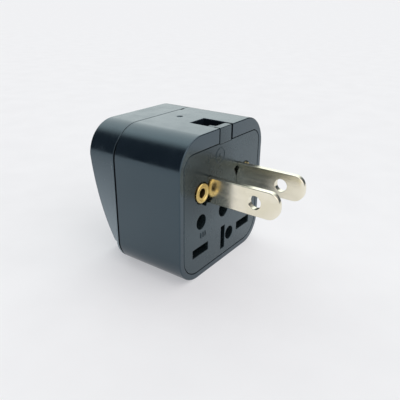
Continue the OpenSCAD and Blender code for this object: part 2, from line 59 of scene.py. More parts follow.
PLATE_TOP = 31.9
PLATE_Y = 0.05
PLATE_T = 2.4
SEAM = 0.15
OPENING_TOP_R = 3.5
LEDGE_W = 0.8
PLAY = 0.05                                  # gap between two pieces that rest on each other
LEDGE_Y = PLATE_Y + PLATE_T + PLAY
LEDGE_T = 1.2
WINDOW_W = 5.8
WINDOW_D = 8.4
BEAM_D = WINDOW_D + WALL
CATCH_Y = 3.1
CATCH_T = 0.8
CATCH_Z = (PLATE_TOP + 0.3, PLATE_TOP + 1.5)
GATE_X, GATE_Y = 0.7, 14.2                   # small round gate mark on the upper side
GATE_PROFILE = ((-0.25, 0.55), (-0.08, 0.75), (0.3, 0.95))   # (height over the upper side, radius)
NOTCH_X, NOTCH_W, NOTCH_D = 6.8, 1.5, 0.5    # notch in the seam on the upper side
LUG_ZS = (9, 27.5)                           # lugs that hold the contact carrier
LUG_W, LUG_H, LUG_T = 2.2, 3.0, 1.3
LATCH_W = 4.8
LATCH_T = 1.95
LATCH_Y = PLATE_Y + LATCH_T / 2
HOOK_W = 1.3
HOOK_Z = CATCH_Z[1] + 0.3
HOOK_T = 1.1
HOOK_Y1 = CATCH_Y + CATCH_T + 1.0
BARB_H = 0.8                                 # how far the barb hangs down behind the catch bar

BLADE_X = 6.35
BLADE_Z = 21.8
BLADE_W = 6.35
BLADE_T = 1.5
BLADE_HOLE_AT = 12.2
BLADE_HOLE_R = 1.6
RIVET_X = 9.5
SCREW_X = 9.5
SCREW_Z = 14.5
FOOT_Y = PLATE_Y + PLATE_T + PLAY
FOOT_END_X = 12.4
RIVET_HOLE_R = 1.5
RIVET_SEAT_R = 2.65                          # shallow recess under the rivet's rolled head
RIVET_SEAT_D = 0.6

SLANT_X, SLANT_TURN = 6.86, 30               # slanted slots, in the plate and in the socket alike
PLATE_SLANT = (21.3, 1.9, 6.6)               # z of the centre, width and length
OUTER_HOLE_R = 1.85                          # the screws' heads stand behind these two
MIDDLE_HOLE_R = 2.05
LOW_HOLE_X, LOW_HOLE_Z, LOW_HOLE_R = 3, 6.6, 1.75
SIDE_SLOT = (9.7, 7.05, 6.3, 2.2)            # x and z of the centre, width and height
LOW_SLOT = (0, 6.5, 1.8, 6.4)
MARK_T = 0.12                                # how far the plain marks stand out of the plate
RING_X, RING_Z, RING_R, RING_W = -2.1, 28.9, 2.0, 0.35
DOT_R = 0.5
BAR_COUNT, BAR_PITCH, BAR_W, BAR_H = 3, 0.9, 0.4, 1.5
BARS_X, BARS_Z = -9.7, 10.95                 # centre of the first bar
PLATE_RIB_T = 1.1
TOE_X0, TOE_X1 = 3, 6.5                      # the toes stand clear of the middle slot

CARRIER_Y = 6.2
CARRIER_T = 1.5
CARRIER_BACK_Y = CARRIER_Y + CARRIER_T + PLAY
SEAM_W = 0.45
FLANGE_T = 0.75
NOSE_Y0 = HOUSING_D + SEAM_W + FLANGE_T
NOSE_EDGE_R = 0.4
SPIGOT_D = 3.0
SPIGOT_T = 1.1
NECK_INSET = 2.85                            # off the other walls, so that no two cuts share a face
FACE_T = 1.8
SIDE_ARC_R = 95.0
SIDE_ARC = (-76.9, 36.2)
NOSE_Z0 = 0.35
NOSE_BOTTOM_R = 3.0
SOCKET_Z = 23.5
WIDE_SLOT = (11.15, 29.45, 7.2, 4.9)         # x and z of the centre, width and height
ROUND_PIN_X, ROUND_PIN_R = 9.5, 2.75
FLAT_PIN_W, FLAT_PIN_H = 2.6, 7.2
SLANT_PIN_W, SLANT_PIN_H = 2.2, 7
CENTRE_PIN_R = 2.4
EARTH_PIN_DROP, EARTH_PIN_R = 11.9, 2.7      # the drops are counted down from SOCKET_Z
EARTH_FLAT_DROP = 10.3
EARTH_SLOT = (0, 7.3, 4.8, 8.8)
BOSS_R, BOSS_BORE_R, BOSS_BORE_D = 2.3, 1.15, 14

ARC_STEPS = 20                               # facets of a quarter turn on the shells
WELD = 1e-6                                  # metres within which points are merged
NOSE_STEPS = 28                              # facets of the nose's long side arc


def place(x, y, z):
    """A point with Y counted from the plug face, as metres in the row's frame."""
    return Vector((x * MM, (y + FACE_Y) * MM, z * MM))


# ---- Outlines in X and Z: each keeps its number of points at any inset, so that rings can be joined ----

def arc(cx, cz, radius, start, end, steps=ARC_STEPS):
    """Points of an arc, from one angle in degrees to another."""
    points = []
    for k in range(steps + 1):
        turn = math.radians(start + (end - start) * k / steps)
        points.append((cx + radius * math.cos(turn), cz + radius * math.sin(turn)))
    return points


def mirrored(right_half):
    """Closes an outline whose right half runs from the bottom to the top."""
    return right_half + [(-x, z) for x, z in reversed(right_half)]


def rounded(half_w, z0, z1, top_r, bottom_r):
    """A rectangle with its own upper and lower corner radii."""
    lower = arc(half_w - bottom_r, z0 + bottom_r, bottom_r, -90, 0)
    upper = arc(half_w - top_r, z1 - top_r, top_r, 0, 90)
    return mirrored(lower + upper)


def body_outline(inset):
    """The shells' outline across the plug face."""
    return rounded(BODY_W / 2 - inset, inset, BODY_H - inset, TOP_R - inset, BOTTOM_R - inset)


def plate_outline(inset):
    """The opening in the housing that the pin plate fills."""
    return rounded(BODY_W / 2 - WALL - inset, WALL + inset, PLATE_TOP - inset,
                   OPENING_TOP_R - inset, BOTTOM_R - WALL - inset)


def nose_corners(inset):
    """The nose's wide side arc: its lower corner's centre, and the angles at which the arcs meet."""
    ax, az = SIDE_ARC
    corner_z = NOSE_Z0 + NOSE_BOTTOM_R
    corner_x = ax + math.sqrt((SIDE_ARC_R - NOSE_BOTTOM_R) ** 2 - (az - corner_z) ** 2)
    touch = math.degrees(math.atan2(corner_z - az, corner_x - ax))
    bx, bz = BODY_W / 2 - TOP_R, BODY_H - TOP_R
    big, small = SIDE_ARC_R - inset, TOP_R - inset
    span = math.hypot(bx - ax, bz - az)
    along = (big ** 2 - small ** 2 + span ** 2) / (2 * span)
    off = math.sqrt(big ** 2 - along ** 2)
    ux, uz = (bx - ax) / span, (bz - az) / span
    meet = (ax + along * ux - off * uz, az + along * uz + off * ux)
    meet_big = math.degrees(math.atan2(meet[1] - az, meet[0] - ax))
    meet_small = math.degrees(math.atan2(meet[1] - bz, meet[0] - bx))
    return (corner_x, corner_z), touch, meet_big, meet_small


def nose_outline(inset):
    """The body's outline cut by two wide arcs, with small lower corners that touch the arcs."""
    (corner_x, corner_z), touch, meet_big, meet_small = nose_corners(inset)
    right = arc(corner_x, corner_z, NOSE_BOTTOM_R - inset, -90, touch, 8)
    right += arc(*SIDE_ARC, SIDE_ARC_R - inset, touch, meet_big, NOSE_STEPS)[1:]
    right += arc(BODY_W / 2 - TOP_R, BODY_H - TOP_R, TOP_R - inset, meet_small, 90)[1:]
    return mirrored(right)


def flange_outline(inset):
    """The body's outline again, with its points in step with those of nose_outline."""
    meet_small = nose_corners(inset)[3]
    bx, bz, small = BODY_W / 2 - TOP_R, BODY_H - TOP_R, TOP_R - inset
    top_z = bz + small * math.sin(math.radians(meet_small))
    right = arc(BODY_W / 2 - BOTTOM_R, BOTTOM_R, BOTTOM_R - inset, -90, 0, 8)
    for k in range(1, NOSE_STEPS + 1):
        z = BOTTOM_R + (top_z - BOTTOM_R) * k / NOSE_STEPS
        right.append((bx + math.sqrt(small ** 2 - max(z - bz, 0) ** 2), z))
    right += arc(bx, bz, small, meet_small, 90)[1:]
    return mirrored(right)


def circle(x, z, radius, steps=48):
    """A closed ring of points, without the first one again at its end."""
    return arc(x, z, radius, 0, 360 - 360 / steps, steps - 1)


def box_outline(x, z, w, h, turn=0, corner=0.12, grow=0.0):
    """A slot about its centre with slightly rounded corners, turned by an angle."""
    points = []
    r = corner
    for sx, sz, start in ((1, -1, -90), (1, 1, 0), (-1, 1, 90), (-1, -1, 180)):
        points += arc(sx * (w / 2 + grow - r), sz * (h / 2 + grow - r), r, start, start + 90, 4)
    c, s = math.cos(math.radians(turn)), math.sin(math.radians(turn))
    return [(x + px * c - pz * s, z + px * s + pz * c) for px, pz in points]


# ---- Meshes ----

def mesh_object(name, build):
    """Makes an object from a function that fills a bmesh."""
    bm = bmesh.new()
    build(bm)
    bmesh.ops.recalc_face_normals(bm, faces=bm.faces)
    mesh = bpy.data.meshes.new(name)
    bm.to_mesh(mesh)
    bm.free()
    obj = bpy.data.objects.new(name, mesh)
    bpy.context.scene.collection.objects.link(obj)
    return obj


def loft(name, rings):
    """A closed solid through rings of 3D points, all with the same number of points."""
    def build(bm):
        rows = [[bm.verts.new(p) for p in ring] for ring in rings]
        count = len(rows[0])
        for low, high in zip(rows, rows[1:]):
            for k in range(count):
                n = (k + 1) % count
                bm.faces.new((low[k], low[n], high[n], high[k]))
        bm.faces.new(list(reversed(rows[0])))
        bm.faces.new(rows[-1])
    return mesh_object(name, build)


def along_y(name, rings):
    """A loft of (y, outline) rings."""
    return loft(name, [[place(x, y, z) for x, z in outline] for y, outline in rings])


def rounded_prism(name, outline, y0, y1, front_r=0.0, rear_r=0.0, steps=5):
    """A prism along Y of outline(inset), with rounded front and rear edges."""
    rings = []
    for k in range(steps + 1 if front_r else 1):
        turn = math.pi / 2 * k / steps
        rings.append((y0 + front_r * (1 - math.cos(turn)), outline(front_r * (1 - math.sin(turn)))))
    for k in range(steps + 1 if rear_r else 1):
        turn = math.pi / 2 * k / steps
        rings.append((y1 - rear_r * (1 - math.sin(turn)), outline(rear_r * (1 - math.cos(turn)))))
    return along_y(name, rings)


def cutter(outline, y0, y1, front_flare=0.0, rear_flare=0.0, steps=3):
    """A cutting prism from y0 to y1. A flare rounds the wall's edge at y0 or at y1."""
    run = 0.6
    turns = [math.pi / 2 * k / steps for k in range(steps + 1)]
    rings = []
    if front_flare:
        rings.append((y0 - run, outline(-front_flare)))
        for turn in turns:
            y = y0 + front_flare * (1 - math.cos(turn))
            rings.append((y, outline(-front_flare * (1 - math.sin(turn)))))
    else:
        rings.append((y0, outline(0)))
    if rear_flare:
        for turn in turns:
            y = y1 - rear_flare * (1 - math.sin(turn))
            rings.append((y, outline(-rear_flare * (1 - math.cos(turn)))))
        rings.append((y1 + run, outline(-rear_flare)))
    else:
        rings.append((y1, outline(0)))
    return along_y("cutter", rings)


def block(name, low, high, bevel=0.0):
    """A box from one corner to the other, with bevelled edges if asked."""
    def build(bm):
        bmesh.ops.create_cube(bm, size=1)
        a, b = place(*low), place(*high)
        for v in bm.verts:
            v.co = Vector([(a[i] + b[i]) / 2 + v.co[i] * (b[i] - a[i]) for i in range(3)])
        if bevel:
            bmesh.ops.bevel(bm, geom=bm.edges[:], offset=bevel * MM, segments=3, profile=0.5,
                            affect="EDGES")
    return mesh_object(name, build)


def rod_x(x0, x1, y, z, radius, flare=0.0, steps=48):
    """A round bar along X, flared at both ends if asked."""
    stations = [(x0, radius), (x1, radius)]
    if flare:
        wide = radius + flare + 1
        stations = [(x0 - 1, wide), (x0 + flare, radius), (x1 - flare, radius), (x1 + 1, wide)]
    rings = []
    for x, r in stations:
        turns = [2 * math.pi * k / steps for k in range(steps)]
        rings.append([place(x, y + r * math.cos(a), z + r * math.sin(a)) for a in turns])
    return loft("rod", rings)


def combine(obj, others, operation):
    """Applies boolean steps to an object and removes the tools."""
    for tool in others:
        mod = obj.modifiers.new("boolean", "BOOLEAN")
        mod.operation = operation
        mod.solver = "EXACT"
        mod.object = tool
        apply_modifiers(obj)
        weld(obj)
        bpy.data.objects.remove(tool, do_unlink=True)
    return obj


def weld(obj):
    """Merges points that coincide, and drops faces and edges without size."""
    bm = bmesh.new()
    bm.from_mesh(obj.data)
    bmesh.ops.remove_doubles(bm, verts=bm.verts, dist=WELD)
    bmesh.ops.dissolve_degenerate(bm, edges=bm.edges, dist=WELD)
    bm.to_mesh(obj.data)
    bm.free()


def apply_modifiers(obj):
    """Puts the evaluated mesh in place of the object's own, and clears its modifiers."""
    graph = bpy.context.evaluated_depsgraph_get()
    mesh = bpy.data.meshes.new_from_object(obj.evaluated_get(graph))
    obj.modifiers.clear()
    obj.data = mesh


def cut(obj, *tools):
    return combine(obj, tools, "DIFFERENCE")


def join(obj, *tools):
    return combine(obj, tools, "UNION")


def finish_surface(obj, angle=32):
    """Smooth shading with sharp creases, weighted so that flat faces stay flat."""
    mesh = obj.data
    for polygon in mesh.polygons:
        polygon.use_smooth = True
    mesh.set_sharp_from_angle(angle=math.radians(angle))
    mod = obj.modifiers.new("weighted", "WEIGHTED_NORMAL")
    mod.keep_sharp = True
    apply_modifiers(obj)
    return obj


def lathe(name, x, z, profile, steps=64):
    """A closed ring turned about an axis along Y; profile is a loop of (radius, y)."""
    def build(bm):
        rows = []
        for k in range(steps):
            a = 2 * math.pi * k / steps
            rows.append([bm.verts.new(place(x + r * math.cos(a), y, z + r * math.sin(a)))
                         for r, y in profile])
        for k in range(steps):
            row, after = rows[k], rows[(k + 1) % steps]
            for i in range(len(profile)):
                j = (i + 1) % len(profile)
                bm.faces.new((row[i], row[j], after[j], after[i]))
    return mesh_object(name, build)


# ---- Materials ----

PLASTIC_IOR = 1.85                           # above the plastic's own, for the shine of a polished mould
PLASTIC_TINT = (0.62, 0.86, 1.0, 1)          # its reflections are slightly blue
PAINTED_REFLECTION_ZS = (29, 2)                            # heights at which the painted reflection starts and is full
PAINTED_SHADE_GLOSS = (0.5, 0.16)                    # strength of the gloss outside and inside a patch of painted shade
SCRATCH_ROUGH = 0.05                         # how much a scratch adds to the roughness
GRAIN_DEPTH = 0.0016                         # millimetres, like the next
PIT_DEPTH = 0.001


def new_material(name):
    """A material with nodes, its tree and its principled shader."""
    material = bpy.data.materials.new(name)
    material.use_nodes = True
    tree = material.node_tree
    shader = tree.nodes["Principled BSDF"]
    return material, tree, shader


def noise(tree, scale, detail=3.0, stretch=(1, 1, 1), rough=0.5):
    """Noise in the object's own space, with scale in waves per metre, stretched along its axes."""
    coords = tree.nodes.new("ShaderNodeTexCoord")
    mapping = tree.nodes.new("ShaderNodeMapping")
    mapping.inputs["Scale"].default_value = stretch
    texture = tree.nodes.new("ShaderNodeTexNoise")
    texture.inputs["Scale"].default_value = scale
    texture.inputs["Detail"].default_value = detail
    texture.inputs["Roughness"].default_value = rough
    tree.links.new(coords.outputs["Object"], mapping.inputs["Vector"])
    tree.links.new(mapping.outputs["Vector"], texture.inputs["Vector"])
    return texture.outputs["Fac"]


def ranged(tree, value, low, high, from_low=0.35, from_high=0.65):
    """Maps a value to a range."""
    node = tree.nodes.new("ShaderNodeMapRange")
    node.inputs["From Min"].default_value = from_low
    node.inputs["From Max"].default_value = from_high
    node.inputs["To Min"].default_value = low
    node.inputs["To Max"].default_value = high
    tree.links.new(value, node.inputs["Value"])
    return node.outputs["Result"]


def blend_colour(tree, factor, first, second):
    """A mix of two colours by a value from 0 to 1."""
    node = tree.nodes.new("ShaderNodeMix")
    node.data_type = "RGBA"
    node.inputs["A"].default_value = (*first, 1)
    node.inputs["B"].default_value = (*second, 1)
    tree.links.new(factor, node.inputs["Factor"])
    return node.outputs["Result"]


def bump(tree, shader, heights):
    """Adds bumps to a shader: each is (height value, depth in millimetres)."""
    last = None
    for height, depth in heights:
        node = tree.nodes.new("ShaderNodeBump")
        node.inputs["Strength"].default_value = 1
        node.inputs["Distance"].default_value = depth * MM
        tree.links.new(height, node.inputs["Height"])
        if last:
            tree.links.new(last, node.inputs["Normal"])
        last = node.outputs["Normal"]
    tree.links.new(last, shader.inputs["Normal"])


def ramp(tree, axis, start, end):
    """A value that grows from 0 to 1 between two positions along an axis, in millimetres."""
    coords = tree.nodes.new("ShaderNodeTexCoord")
    split = tree.nodes.new("ShaderNodeSeparateXYZ")
    tree.links.new(coords.outputs["Object"], split.inputs["Vector"])
    return ranged(tree, split.outputs[axis], 0, 1, start * MM, end * MM)


def patch(tree, centre, inner, outer):
    """A soft round patch: 1 inside one radius of a point on the plug face and 0 beyond the other."""
    coords = tree.nodes.new("ShaderNodeTexCoord")
    gap = tree.nodes.new("ShaderNodeVectorMath")
    gap.operation = "DISTANCE"
    gap.inputs[1].default_value = place(centre[0], 0, centre[1])
    tree.links.new(coords.outputs["Object"], gap.inputs[0])
    return ranged(tree, gap.outputs["Value"], 1, 0, inner * MM, outer * MM)


def moulded_plastic(name, tones, rough, ripple, painted_reflection=None, painted_shade_patch=None):
    """Moulded black plastic: slight waviness, fine grain, and handling marks in its gloss.

    tones and rough each give a low and a high value, and ripple is the waviness in millimetres.
    The optional colour is a painted reflection of the bright floor, added towards the lower side, and the
    optional patch is painted shade, a patch that shines less.
    """
    material, tree, shader = new_material(name)
    socket_y = BODY_D + FACE_Y
    cloud = noise(tree, 90, 3)
    grain = noise(tree, 2600, 2)
    smudge = noise(tree, 260, 5, rough=0.62)
    scratch = noise(tree, 420, 3, stretch=(1, 14, 1))
    colour = blend_colour(tree, ranged(tree, cloud, 0, 1), *tones)
    # Painted reflection: a pale colour comes in towards the lower side and fades out just before the socket
    # face.
    if painted_reflection:
        amount = tree.nodes.new("ShaderNodeMath")
        amount.operation = "MULTIPLY"
        tree.links.new(ramp(tree, "Z", *PAINTED_REFLECTION_ZS), amount.inputs[0])
        tree.links.new(ramp(tree, "Y", socket_y - 0.1, socket_y - 0.5), amount.inputs[1])
        painted_reflection_colour = blend_colour(tree, amount.outputs[0], (0, 0, 0), painted_reflection)
        total = tree.nodes.new("ShaderNodeVectorMath")
        total.operation = "ADD"
        tree.links.new(colour, total.inputs[0])
        tree.links.new(painted_reflection_colour, total.inputs[1])
        colour = total.outputs["Vector"]
    tree.links.new(colour, shader.inputs["Base Color"])
    # Painted shade: the gloss is turned down inside the patch.
    if painted_shade_patch:
        painted_shade_mask = patch(tree, *painted_shade_patch)
        tree.links.new(ranged(tree, painted_shade_mask, *PAINTED_SHADE_GLOSS, 0, 1), shader.inputs["Specular IOR Level"])
    gloss = tree.nodes.new("ShaderNodeMath")
    gloss.operation = "ADD"
    tree.links.new(ranged(tree, smudge, *rough), gloss.inputs[0])
    tree.links.new(ranged(tree, scratch, 0, SCRATCH_ROUGH, 0.6, 0.75), gloss.inputs[1])
    tree.links.new(gloss.outputs[0], shader.inputs["Roughness"])
    shader.inputs["IOR"].default_value = PLASTIC_IOR
    shader.inputs["Specular Tint"].default_value = PLASTIC_TINT
    bump(tree, shader, ((cloud, ripple), (grain, GRAIN_DEPTH)))
    return material


def plated_metal(name, tones, rough, along=(1, 1, 1)):
    """Plated or bare metal with fine scratches along one direction and a faint stain."""
    material, tree, shader = new_material(name)
    stain = noise(tree, 190, 4, rough=0.6)
    hair = noise(tree, 900, 3, stretch=along)
    pits = noise(tree, 3000, 2)
    tree.links.new(blend_colour(tree, ranged(tree, stain, 0, 1), *tones), shader.inputs["Base Color"])
    shader.inputs["Metallic"].default_value = 1
    tree.links.new(ranged(tree, hair, *rough), shader.inputs["Roughness"])
    bump(tree, shader, ((hair, GRAIN_DEPTH), (pits, PIT_DEPTH)))
    return material


SHELL_TONES = ((0.006, 0.010, 0.015), (0.009, 0.014, 0.020))

black = moulded_plastic("black_plastic_moulded", SHELL_TONES, (0.13, 0.22), 0.012)
# Painted shade: a near-black matt plastic, with its gloss turned down, for the faces in the groove between
# the shells.
seam_painted_shade = moulded_plastic("black_plastic_painted_seam_shade", ((0.002, 0.002, 0.003), (0.004, 0.004, 0.005)),
                             (0.7, 0.8), 0.004, painted_shade_patch=((0, 18), 60, 80))
# Painted reflection: a pale grey-blue colour is added to the cover towards its lower side, standing in for
# the reflection of the bright floor.
cover_black = moulded_plastic("black_plastic_cover", SHELL_TONES, (0.15, 0.26), 0.012,
                              painted_reflection=(0.24, 0.28, 0.30))
# Painted shade: the plate's gloss is turned down in a round patch above the left rivet, standing in for a
# darker reflection there.
plate_black = moulded_plastic("black_plastic_plate", ((0.008, 0.013, 0.015), (0.012, 0.018, 0.020)),
                              (0.20, 0.30), 0.010, painted_shade_patch=((-9.5, 25.5), 3, 14))
inner_black = moulded_plastic("inner_plastic_matt", ((0.012, 0.013, 0.014), (0.02, 0.021, 0.023)),
                              (0.45, 0.6), 0.01)
nickel = plated_metal("nickel_plate", ((0.82, 0.77, 0.61), (0.90, 0.85, 0.71)), (0.17, 0.27), (1, 0.12, 1))
brass = plated_metal("bright_brass", ((0.58, 0.42, 0.15), (0.72, 0.56, 0.24)), (0.18, 0.30))
bore_brass = plated_metal("brass_in_shade", ((0.05, 0.032, 0.012), (0.09, 0.058, 0.022)), (0.4, 0.55))
bronze = plated_metal("phosphor_bronze", ((0.58, 0.34, 0.15), (0.72, 0.46, 0.22)), (0.22, 0.36),
                      (1, 1, 0.15))
dark_steel = plated_metal("blackened_steel", ((0.05, 0.05, 0.055), (0.11, 0.11, 0.12)), (0.32, 0.5))


def dress(obj, material, node, body="body"):
    """Gives a detailed piece its material and ties it to its CAD node."""
    obj.data.materials.clear()
    obj.data.materials.append(material)
    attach(obj, body)
    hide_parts(node)


# ---- Shells ----

def window_cutter():
    """Cuts the slot in the upper wall, with a soft edge where it meets the upper side."""
    soft = 0.12
    stations = ((PLATE_TOP - LEDGE_W - 1, 0), (BODY_H - soft, 0), (BODY_H, soft), (BODY_H + 1, soft + 1))
    rings = []
    for z, grow in stations:
        x, y1 = WINDOW_W / 2 + grow, WINDOW_D + grow
        rings.append([place(px, py, z) for px, py in ((-x, -1), (x, -1), (x, y1), (-x, y1))])
    return loft("cutter", rings)


def gate_cutter(steps=32):
    """A shallow round dimple with a sloping side, where the moulding's gate was."""
    turns = [2 * math.pi * k / steps for k in range(steps)]
    return loft("cutter", [[place(GATE_X + r * math.cos(a), GATE_Y + r * math.sin(a), BODY_H + rise)
                            for a in turns]
                           for rise, r in GATE_PROFILE])


def make_housing():
    """The front shell: opening for the plate, ledge behind it, slot with its catch bar, and lugs."""
    shell = rounded_prism("housing_shell", body_outline, 0, HOUSING_D, front_r=0.28, rear_r=0.12)
    cut(shell,
        cutter(plate_outline, 0, LEDGE_Y, front_flare=0.12),
        cutter(lambda i: plate_outline(LEDGE_W + i), LEDGE_Y - 0.1, LEDGE_Y + LEDGE_T),
        cutter(plate_outline, LEDGE_Y + LEDGE_T, BEAM_D),
        cutter(lambda i: body_outline(WALL + i), BEAM_D - 0.01, HOUSING_D, rear_flare=0.1),
        window_cutter())
    join(shell, block("bar", (-WINDOW_W / 2 - 0.5, CATCH_Y, CATCH_Z[0]),
                      (WINDOW_W / 2 + 0.5, CATCH_Y + CATCH_T, CATCH_Z[1])))
    notch = block("cutter", (NOTCH_X, HOUSING_D - NOTCH_D, BODY_H - WALL / 2),
                  (NOTCH_X + NOTCH_W, HOUSING_D + 1, BODY_H + 1))
    cut(shell, gate_cutter(), notch)
    inner_x = BODY_W / 2 - WALL
    lugs = [block("lug", (side * (inner_x + 0.2), CARRIER_BACK_Y, z - LUG_H / 2),
                  (side * (inner_x - LUG_W), CARRIER_BACK_Y + LUG_T, z + LUG_H / 2))
            for side in (-1, 1) for z in LUG_ZS]
    join(shell, *lugs)
    finish_surface(shell)
    dress(shell, black, "main_housing")


def hole_cutters():
    """Cutters for the plate's openings, each with a soft mouth."""
    back = LEDGE_Y + 1
    blade_gap = 0.1
    tools = []

    def round_hole(x, z, r, soft=0.12):
        tools.append(cutter(lambda i: circle(x, z, r - i), PLATE_Y, back, front_flare=soft))

    def slot_hole(x, z, w, h, turn=0, soft=0.1):
        tools.append(cutter(lambda i: box_outline(x, z, w, h, turn, grow=-i), PLATE_Y, back,
                            front_flare=soft))

    for side in (-1, 1):
        slot_hole(side * SLANT_X, *PLATE_SLANT, side * SLANT_TURN)
        slot_hole(side * BLADE_X, BLADE_Z, BLADE_T + blade_gap, BLADE_W + blade_gap)
        round_hole(side * RIVET_X, BLADE_Z, RIVET_HOLE_R)
        tools.append(cutter(lambda i: circle(side * RIVET_X, BLADE_Z, RIVET_SEAT_R - i),
                            PLATE_Y, PLATE_Y + RIVET_SEAT_D, front_flare=0.1))
        round_hole(side * SCREW_X, SCREW_Z, OUTER_HOLE_R)
        slot_hole(side * SIDE_SLOT[0], *SIDE_SLOT[1:])
    round_hole(0, SCREW_Z, MIDDLE_HOLE_R)
    round_hole(LOW_HOLE_X, LOW_HOLE_Z, LOW_HOLE_R)
    slot_hole(*LOW_SLOT)
    return tools


def raised(outline, height=MARK_T):
    """A plain raised mark on the plate, with rounded shoulders."""
    stations = ((-0.2, 0), (height * 0.3, 0), (height * 0.85, 0.05), (height, 0.12))
    return along_y("mark", [(PLATE_Y - proud, outline(inset)) for proud, inset in stations])


def ring_mark(x, z, radius, width, height=MARK_T, steps=48):
    """A raised ring, oval in section and half sunk in the plate."""
    section = []
    for i in range(9):
        t = 2 * math.pi * i / 9
        section.append((radius - width / 2 * (1 - math.cos(t)), PLATE_Y - height * math.sin(t)))
    return lathe("mark", x, z, section, steps)


def make_plate():
    """The pin plate: its rib and toes behind, its openings, the latch's trough and the plain marks."""
    back_y = PLATE_Y + PLATE_T
    plate = rounded_prism("pin_plate_moulding", lambda i: plate_outline(SEAM + i), PLATE_Y, back_y,
                          front_r=0.12)
    rib_outline = plate_outline(LEDGE_W + SEAM)
    rib_inside = plate_outline(LEDGE_W + SEAM + 1)
    join(plate, along_y("rib", [(back_y - 0.2, rib_outline), (back_y + PLATE_RIB_T, rib_outline)]))
    hollow = along_y("cutter", [(back_y, rib_inside), (back_y + 2, rib_inside)])
    trough_x, trough_r = LATCH_W / 2 + SEAM, LATCH_T / 2 + 0.07
    trough = rod_x(-trough_x, trough_x, LATCH_Y, PLATE_TOP, trough_r)
    cut(plate, hollow, *hole_cutters(), trough)
    rib_z = WALL + LEDGE_W + SEAM
    toe_y = LEDGE_Y + LEDGE_T + PLAY
    for side in (-1, 1):
        x0, x1 = sorted((side * TOE_X0, side * TOE_X1))
        join(plate,
             block("toe", (x0, back_y - 0.1, rib_z), (x1, toe_y + 1, rib_z + 1)),
             block("toe", (x0, toe_y, WALL + SEAM), (x1, toe_y + 1, rib_z + 0.9)))
    join(plate, ring_mark(RING_X, RING_Z, RING_R, RING_W),
         raised(lambda i: circle(RING_X, RING_Z, DOT_R - i, 24)))
    for k in range(BAR_COUNT):
        bar_x = BARS_X + k * BAR_PITCH
        join(plate, raised(lambda i: box_outline(bar_x, BARS_Z, BAR_W, BAR_H, corner=0.19, grow=-i)))
    finish_surface(plate)
    dress(plate, plate_black, "pin_plate")


def make_latch():
    """The tongue, rounded at its foot and softly at its other edges, and the hook behind it."""
    soft, slight, chamfer = 0.13, 0.04, 0.15
    half_w = LATCH_W / 2
    foot_turns = [math.pi + math.pi * k / 16 for k in range(17)]

    def section(inset):
        y0, y1, top = PLATE_Y + inset, PLATE_Y + LATCH_T - inset, BODY_H - PLAY - inset
        foot_r = LATCH_T / 2 - inset
        foot = [(LATCH_Y + foot_r * math.cos(a), PLATE_TOP + foot_r * math.sin(a)) for a in foot_turns]
        return foot + [(y1, top - chamfer), (y1 - chamfer, top), (y0 + chamfer, top), (y0, top - chamfer)]

    rings = []
    for x, inset in ((-half_w, soft), (-half_w + slight, slight), (-half_w + soft, 0),
                     (half_w - soft, 0), (half_w - slight, slight), (half_w, soft)):
        rings.append([place(x, y, z) for y, z in section(inset)])
    tongue = loft("latch_tongue", rings)
    hook_x = HOOK_W / 2
    join(tongue,
         block("hook", (-hook_x, PLATE_Y + LATCH_T - 0.3, HOOK_Z),
               (hook_x, HOOK_Y1, HOOK_Z + HOOK_T), 0.1),
         block("barb", (-hook_x, CATCH_Y + CATCH_T + 0.3, HOOK_Z - BARB_H),
               (hook_x, HOOK_Y1, HOOK_Z + 0.5), 0.1))
    finish_surface(tongue)
    dress(tongue, plate_black, "latch_finger", "latch")


def socket_cutters():
    """Cutters for the socket's openings, from inside the face to beyond it, with soft mouths."""
    y0 = BODY_D - FACE_T - 1
    soft = 0.25
    tools = []

    def opening(outline):
        tools.append(cutter(outline, y0, BODY_D, rear_flare=soft))

    for side in (-1, 1):
        wide = (side * WIDE_SLOT[0], *WIDE_SLOT[1:])
        tools.append(cutter(lambda i: box_outline(*wide, corner=0.35, grow=-i),
                            HOUSING_D - SPIGOT_D - 1, BODY_D, rear_flare=soft))
        opening(lambda i: circle(side * ROUND_PIN_X, SOCKET_Z, ROUND_PIN_R - i))
        opening(lambda i: box_outline(side * BLADE_X, SOCKET_Z, FLAT_PIN_W, FLAT_PIN_H, grow=-i))
        opening(lambda i: box_outline(side * SLANT_X, SOCKET_Z, SLANT_PIN_W, SLANT_PIN_H,
                                      side * SLANT_TURN, grow=-i))
    opening(lambda i: circle(0, SOCKET_Z, CENTRE_PIN_R - i))
    opening(lambda i: circle(0, SOCKET_Z - EARTH_PIN_DROP, EARTH_PIN_R - i))
    opening(lambda i: box_outline(0, SOCKET_Z - EARTH_FLAT_DROP, SLANT_PIN_W, SLANT_PIN_H, grow=-i))
    opening(lambda i: box_outline(*EARTH_SLOT, grow=-i))
    return tools


def seam_front(z):
    """Where the cover starts: the groove beside the housing narrows to a thin line on the upper side."""
    thin_w, thin_z, fade = 0.12, 33.6, 4.2
    t = min(max((thin_z - z) / fade, 0), 1)
    return HOUSING_D + thin_w + (SEAM_W - thin_w) * t * t * (3 - 2 * t)


def towards(outline, goal, reach, part):
    """Moves each point a part of its reach towards its partner; the reach stays under half the gap."""
    moved = []
    for (x, z), (gx, gz) in zip(outline, goal):
        gap = math.hypot(gx - x, gz - z)
        share = part * min(reach / gap, 0.45) if gap > 1e-3 else 0
        moved.append((x + (gx - x) * share, z + (gz - z) * share))
    return moved


